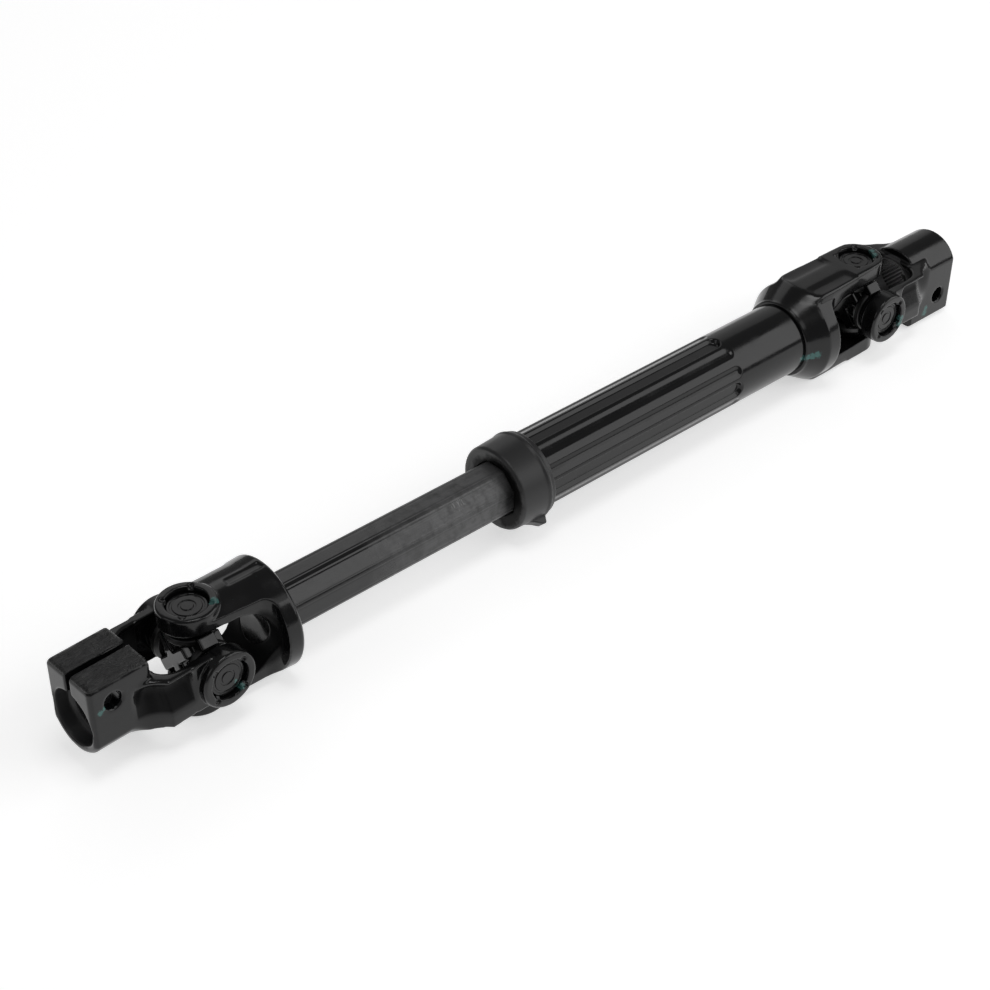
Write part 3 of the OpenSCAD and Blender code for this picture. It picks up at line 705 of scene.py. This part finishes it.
def shaft_finish():
    material, tree, shader = blank_material("shaft_steel")
    cloud = ramp(tree, noise(tree, 60, 4, 0.6), 0.3, 0.7, -14 * MM, 14 * MM)
    place = join(tree, "ADD", along(tree, "X"), cloud)
    bare = ramp(tree, place, FRONT.x + FADE_FROM_MM * MM, FRONT.x + FADE_TO_MM * MM, 0, 1)
    draw_lines = noise(tree, 1.0, 3, 0.6, stretched(tree, (25.0, 2600.0, 2600.0)))
    stains = noise(tree, 260, 5, 0.65)
    rubbed = tuple(1.3 * c for c in BARE_STEEL)
    light = blend(tree, ramp(tree, draw_lines, 0.35, 0.7, 0, 1), BARE_STEEL, rubbed)
    steel = blend(tree, ramp(tree, stains, 0.45, 0.75, 0, 0.6), light, (0.014, 0.014, 0.014))
    skewed = noise(tree, 1.0, 1, 0.5, stretched(tree, (1500.0, 380.0, 380.0)))
    scratches = join(tree, "MULTIPLY", ramp(tree, skewed, 0.6, 0.68, 0, 1),
                     near_point(tree, SCRATCH_AT, 1.0, 4.5))
    marked = blend(tree, scratches, steel, (0.16, 0.16, 0.16))
    painted = blend(tree, bare, PAINT_BLACK, marked)
    grease = join(tree, "MULTIPLY", near_point(tree, GREASED_AT, 1.5, 8.0),
                  ramp(tree, stains, 0.3, 0.6, 0.3, 1))
    tree.links.new(blend(tree, grease, painted, (0.003, 0.003, 0.003)), shader.inputs["Base Color"])
    tree.links.new(ramp(tree, bare, 0, 1, 0.0, 0.4), shader.inputs["Metallic"])
    dull = join(tree, "ADD", ramp(tree, bare, 0, 1, PAINT_GLOSS, 0.40), ramp(tree, stains, 0.4, 0.7, 0, 0.08))
    tree.links.new(dull, shader.inputs["Roughness"])
    waves = bump(tree, noise(tree, 120, 2), 0.04)
    tree.links.new(bump(tree, draw_lines, 0.012, waves), shader.inputs["Normal"])
    return material


shaft_steel = shaft_finish()
print("paint fades between", FADE_FROM_MM, "and", FADE_TO_MM, "mm from the front joint")

# %% [markdown]
# The collar is matt black rubber. Its wiper closes round the shaft level with the rim, so the front reads as
# one flat face. Grease from inside has crept out round the shaft and blackened the face, while the body
# keeps a dry, soft sheen.

# %% The rubber collar and its grease
DRY_RUBBER, GREASED_RUBBER = (0.013, 0.013, 0.0135), (0.001, 0.001, 0.001)
GREASE_R_MM = 14.9
WIPER_RIM_MM, WIPER_HOLE_MM = 17.2, 11.2
WIPER_LEAN_MM = 0.5
WIPER_DEEP_MM = 4.5


def collar_finish(nose_x):
    material, tree, shader = blank_material("collar_rubber")
    offset = add_node(tree, "ShaderNodeVectorMath", operation="DISTANCE")
    tree.links.new(stretched(tree, (0.0, 1.0, 1.0)), offset.inputs[0])
    offset.inputs[1].default_value = (0, -1.2 * MM, AXIS_Z)
    wander = ramp(tree, noise(tree, 150, 4), 0.3, 0.7, -2 * MM, 2 * MM)
    ragged = join(tree, "ADD", offset.outputs["Value"], wander)
    inside = ramp(tree, ragged, (GREASE_R_MM - 0.8) * MM, (GREASE_R_MM + 1.4) * MM, 1, 0)
    front_side = ramp(tree, along(tree, "X"), nose_x + 0.8 * MM, nose_x + 1.6 * MM, 1, 0)
    grease = join(tree, "MULTIPLY", inside, front_side)
    tree.links.new(blend(tree, grease, DRY_RUBBER, GREASED_RUBBER), shader.inputs["Base Color"])
    tree.links.new(ramp(tree, grease, 0, 1, 0.42, 0.50), shader.inputs["Roughness"])
    tree.links.new(ramp(tree, grease, 0, 1, 0.44, 0.12), shader.inputs["Specular IOR Level"])
    tree.links.new(bump(tree, noise(tree, 700, 3), 0.006), shader.inputs["Normal"])
    return material


def add_wiper(skin, nose_x):
    """A ring round the octagonal shaft that closes the collar's front, leaning inwards a little."""
    sides = 64
    loops = []
    front = nose_x / MM
    back = front + WIPER_DEEP_MM
    for radius, x in ((WIPER_HOLE_MM, front + WIPER_LEAN_MM), (WIPER_RIM_MM, front), (WIPER_RIM_MM, back),
                      (WIPER_HOLE_MM, back)):
        loop = []
        for step in range(sides):
            angle = 2 * math.pi * step / sides
            off = (angle + math.pi / 8) % (math.pi / 4) - math.pi / 8
            far = radius / math.cos(off) if radius == WIPER_HOLE_MM else radius
            loop.append(skin.verts.new(Vector((x, far * math.sin(angle), far * math.cos(angle))) * MM
                                       + Vector((0, 0, AXIS_Z))))
        loops.append(loop)
    ring = []
    for first, second in zip(loops, loops[1:] + loops[:1]):
        for here in range(sides):
            after = (here + 1) % sides
            ring.append(skin.faces.new((first[here], first[after], second[after], second[here])))
    bmesh.ops.recalc_face_normals(skin, faces=ring)


nose_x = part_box("seal_collar")[0][0]
skin = merged_copy("seal_collar")
add_wiper(skin, nose_x)
place_piece("moulded_collar", forged_skin(skin, 0.32, 4), body_of["seal_collar"], collar_finish(nose_x),
            ["seal_collar"])
print("grease within", GREASE_R_MM, "mm of the axis")

# %% [markdown]
# Drawn pieces are built as rings of points along X, each point at a radius that a formula gives for its
# angle and place. The tube is cold drawn, so its flutes are not cut: the wall is pressed in, and every edge
# of a flute is a soft roll with a round end. There the radius is the round tube's, eased down to the flat
# floor of a flute by how far the point lies inside the flute's outline.

# %% Draw the fluted tube
TUBE_WALL_MM = 2.0
PLAIN_LEN_MM = 39.4
MAIN = (3.1, 14.02, 0.7)
MINOR = (2.1, 15.3, 1.3)
MINOR_ANGLE = 29
AROUND = 288

tube_low, tube_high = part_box("outer_tube")
TUBE_R_MM = (tube_high[1] - tube_low[1]) / 2 / MM
tube_from, tube_to = tube_low[0] / MM, tube_high[0] / MM
flute_end = tube_to - PLAIN_LEN_MM
flutes = []
for quarter in range(4):
    flutes.append((90 * quarter, *MAIN))
    for side in (-1, 1):
        flutes.append((90 * quarter + side * MINOR_ANGLE, *MINOR))


def tube_radius(angle_deg, x):
    """Outer radius of the fluted tube in mm at an angle round it and a place along it."""
    radius = TUBE_R_MM
    for middle, half, floor_mm, roll in flutes:
        off = math.radians((angle_deg - middle + 180) % 360 - 180)
        if abs(off) > math.radians(24):
            continue
        past = max(0.0, x - (flute_end - half))
        inside = half - math.hypot(TUBE_R_MM * math.sin(off), past)
        share = smooth_step(0.5 + inside / (2 * roll))
        radius += share * (floor_mm / math.cos(off) - radius)
    return radius


def ring_places(start, end, busy_from, busy_to):
    """Places along X, close together in the busy stretch."""
    places = []
    x = start
    while x < end:
        places.append(x)
        x += 0.3 if busy_from < x < busy_to else 2.0
    return places + [end]


def ring_of_points(skin, x, radius_at, inset=0.0):
    points = []
    for step in range(AROUND):
        angle = 360 * step / AROUND
        radius = radius_at(angle, x) - inset
        turn = math.radians(angle)
        place = Vector((x, radius * math.sin(turn), AXIS_Z / MM + radius * math.cos(turn)))
        points.append(skin.verts.new(place * MM))
    return points


def close_band(skin, first, second):
    for here in range(AROUND):
        after = (here + 1) % AROUND
        skin.faces.new((first[here], first[after], second[after], second[here]))


def tube_skin():
    skin = bmesh.new()
    places = ring_places(tube_from, tube_to, flute_end - 5, flute_end + 2)
    outer = [ring_of_points(skin, x, tube_radius) for x in places]
    inner = [ring_of_points(skin, x, tube_radius, TUBE_WALL_MM) for x in places]
    for rings in (outer, inner):
        for first, second in zip(rings, rings[1:]):
            close_band(skin, first, second)
    close_band(skin, outer[0], inner[0])
    close_band(skin, outer[-1], inner[-1])
    bmesh.ops.recalc_face_normals(skin, faces=skin.faces)
    return skin


tube = place_piece("drawn_tube", tube_skin(), body_of["outer_tube"], tube_paint, ["outer_tube"])
print("tube faces", len(tube.data.polygons), "flutes", len(flutes))

# %% [markdown]
# The shaft is made the same way. Its radius follows the flats of an octagon, the corners are rounded off,
# and a shallow groove runs along each corner on both sides, where the drawing die left its mark.

# %% Draw the octagonal shaft
CORNER_R_MM = 11.62
GROOVE_AT_DEG, GROOVE_HALF_DEG = 16.5, 3.2
GROOVE_MM = 0.10
END_EASE_MM = 0.6
SPIGOT_R_MM = 9.52
WINDOW_R_MM = 15.0

shaft_low, shaft_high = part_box("inner_shaft")
FLAT_MM = (shaft_high[1] - shaft_low[1]) / 2 / MM
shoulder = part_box("front_fork")[1][0] / MM - 1.0
shaft_from, shaft_to = shaft_low[0] / MM, shaft_high[0] / MM


def shaft_radius(angle_deg, x):
    """Radius of the drawn octagon in mm at an angle round it."""
    off = (angle_deg + 22.5) % 45 - 22.5
    flat = FLAT_MM / math.cos(math.radians(off))
    groove = smooth_step(1 - abs(abs(off) - GROOVE_AT_DEG) / GROOVE_HALF_DEG)
    ease_in = max(0.0, x - (shaft_to - END_EASE_MM))
    return min(flat, CORNER_R_MM) - GROOVE_MM * groove - ease_in


def window_ring(skin, radius):
    """A ring of the spigot's end, which is dressed flush with the round end of the fork's window."""
    ring = ring_of_points(skin, shaft_from, lambda angle, x: radius)
    for point in ring:
        height = (point.co.z - AXIS_Z) / MM
        point.co.x -= (WINDOW_R_MM - math.sqrt(WINDOW_R_MM ** 2 - height ** 2)) * MM
    return ring


def shaft_skin():
    skin = bmesh.new()
    rings = [window_ring(skin, SPIGOT_R_MM * share) for share in (0.05, 0.3, 0.6, 0.9, 0.99, 1.0)]
    rings.append(ring_of_points(skin, shoulder, lambda angle, x: SPIGOT_R_MM))
    rings += [ring_of_points(skin, x, shaft_radius)
              for x in ring_places(shoulder, shaft_to, shaft_to - 1, shaft_to)]
    for first, second in zip(rings, rings[1:]):
        close_band(skin, first, second)
    skin.faces.new(rings[0])
    skin.faces.new(rings[-1])
    bmesh.ops.recalc_face_normals(skin, faces=skin.faces)
    return skin


place_piece("drawn_shaft", shaft_skin(), body_of["inner_shaft"], shaft_steel, ["inner_shaft"])
print("shaft from", round(shaft_from, 1), "to", round(shaft_to, 1), "mm")

# %% [markdown]
# The clamp bores are serrated, to grip a serrated shaft. The solids have them as plain bores, so the teeth
# are added as one comb per hub. It leaves out the slit and the notch where the pinch bolt crosses the bore.

# %% Cut the serrations
TEETH = 36
BORE_R_MM = 9.5
TOOTH_MM = 0.55
BOLT_AT_MM, BOLT_HIGH_MM, BOLT_R_MM = 9.5, 10.4, 4.4
HUBS = {
    "front_clamp_yoke": (FRONT, -1, 51.0, 25.0, FRONT_SWING),
    "rear_clamp_yoke": (REAR, 1, 57.0, 27.5, 0.0),
}
COUNTERBORE_MM = 7.0


def add_tooth(comb, start, end, middle, half_pitch, turn, centre):
    corners = ((BORE_R_MM + 0.25, middle - half_pitch), (BORE_R_MM - TOOTH_MM, middle),
               (BORE_R_MM + 0.25, middle + half_pitch))
    first, last = ([comb.verts.new(turn @ Vector((x, r * math.sin(a), r * math.cos(a))) * MM + centre)
                    for r, a in corners] for x in (start, end))
    comb.faces.new(first)
    comb.faces.new(last)
    for here in range(3):
        after = (here + 1) % 3
        comb.faces.new((first[here], first[after], last[after], last[here]))


def serrations(centre, way, reach, hub_len, swing):
    """A comb of three-sided teeth inside one clamp bore."""
    comb = bmesh.new()
    turn = Matrix.Rotation(swing, 4, "Z")
    near, far = way * (reach - COUNTERBORE_MM - 0.2), way * (reach - hub_len + 4.0)
    half_pitch = math.pi / TEETH
    for tooth in range(TEETH):
        middle = 2 * math.pi * (tooth + 0.5) / TEETH
        if abs(math.sin(middle)) * BORE_R_MM < SLIT_HALF_MM + 0.8 and -way * math.cos(middle) > 0:
            continue
        height = -way * BORE_R_MM * math.cos(middle)
        chord = BOLT_R_MM ** 2 - (BOLT_HIGH_MM - height) ** 2
        stretches = [(near, far)]
        if chord > 0:
            notch = math.sqrt(chord)
            bolt_x = way * (reach - BOLT_AT_MM)
            stretches = [(near, bolt_x + way * notch), (bolt_x - way * notch, far)]
        for start, end in stretches:
            if way * (start - end) > 0.3:
                add_tooth(comb, start, end, middle, half_pitch, turn, centre)
    bmesh.ops.recalc_face_normals(comb, faces=comb.faces)
    return comb


for node, sizes in HUBS.items():
    teeth = serrations(*sizes)
    comb = place_piece("serrations_" + node, teeth, body_of[node], forging_paint)
    for polygon in comb.data.polygons:
        polygon.use_smooth = False
print("teeth", TEETH, "in each bore")

# %% Keep the sizes and finish
visual_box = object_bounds()
sizes = {"cad": [list(corner) for corner in cad_box], "visual": [list(corner) for corner in visual_box]}
print("box of the dressed part, mm", [[round(v / MM, 1) for v in corner] for corner in visual_box])
